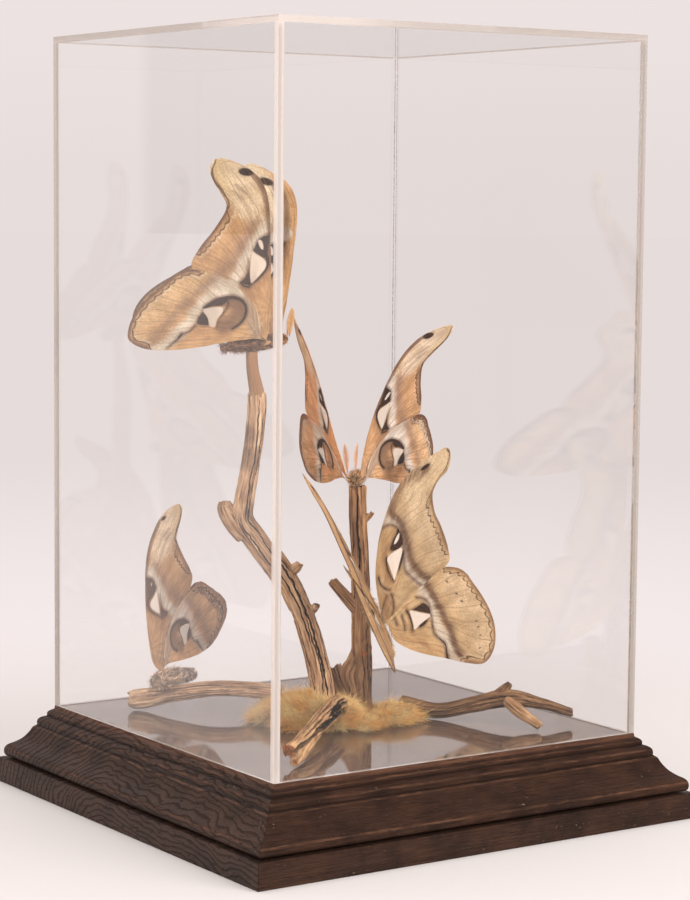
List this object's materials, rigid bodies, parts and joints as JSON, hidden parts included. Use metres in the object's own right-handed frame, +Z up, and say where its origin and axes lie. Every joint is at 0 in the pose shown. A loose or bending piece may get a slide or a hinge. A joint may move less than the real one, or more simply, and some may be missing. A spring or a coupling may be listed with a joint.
{
  "type": "moths in acrylic display case",
  "caption": "Dried hook-tipped silk moths mounted on weathered driftwood in a tuft of fur, under a clear rectangular acrylic cover on a dark moulded oak plinth.",
  "frame": {"origin": "middle of the plinth's underside", "axes": "+Z up; the sides of the plinth and cover lie along X and Y; the corner nearest the camera is at -X -Y"},
  "size_m": [0.3622, 0.3622, 0.5445],
  "materials": {
    "oak": "open-grained oak, dark stained, satin, with worn pale flecks on the arrises",
    "panel": "polished black, lightly dusty",
    "acrylic": "clear acrylic sheet with polished cream-looking edges",
    "driftwood": "weathered grey-brown wood with long dark cracks",
    "fur": "soft cream and golden fur",
    "wing": "dry scaled wing membrane, tan and cream with dark-edged clear windows",
    "moth_body": "dense brown down",
    "antenna": "fine feathery orange-gold"
  },
  "bodies": {
    "root": {"base_board_back": "oak", "base_board_front": "oak", "base_board_left": "oak", "base_board_right": "oak", "branch_back": "driftwood", "branch_front": "driftwood", "branch_left": "driftwood", "branch_right": "driftwood", "branch_right_fork": "driftwood", "branch_tall": "driftwood", "branch_trunk": "driftwood", "cover_back": "acrylic", "cover_front": "acrylic", "cover_left": "acrylic", "cover_right": "acrylic", "cover_top": "acrylic", "display_panel": "panel", "fur_tuft": "fur", "moth_left_body": "moth_body", "moth_left_forewing_left": "wing", "moth_left_forewing_right": "wing", "moth_left_hindwing_left": "wing", "moth_left_hindwing_right": "wing", "moth_middle_antenna_left": "antenna", "moth_middle_antenna_right": "antenna", "moth_middle_body": "moth_body", "moth_middle_forewing_left": "wing", "moth_middle_forewing_right": "wing", "moth_middle_hindwing_left": "wing", "moth_middle_hindwing_right": "wing", "moth_right_antenna_left": "antenna", "moth_right_antenna_right": "antenna", "moth_right_body": "moth_body", "moth_right_forewing_left": "wing", "moth_right_forewing_right": "wing", "moth_right_hindwing_left": "wing", "moth_right_hindwing_right": "wing", "moth_top_antenna_left": "antenna", "moth_top_antenna_right": "antenna", "moth_top_body": "moth_body", "moth_top_forewing_left": "wing", "moth_top_forewing_right": "wing", "moth_top_hindwing_left": "wing", "moth_top_hindwing_right": "wing", "moulding_back": "oak", "moulding_front": "oak", "moulding_left": "oak", "moulding_right": "oak"}
  },
  "joints": []
}
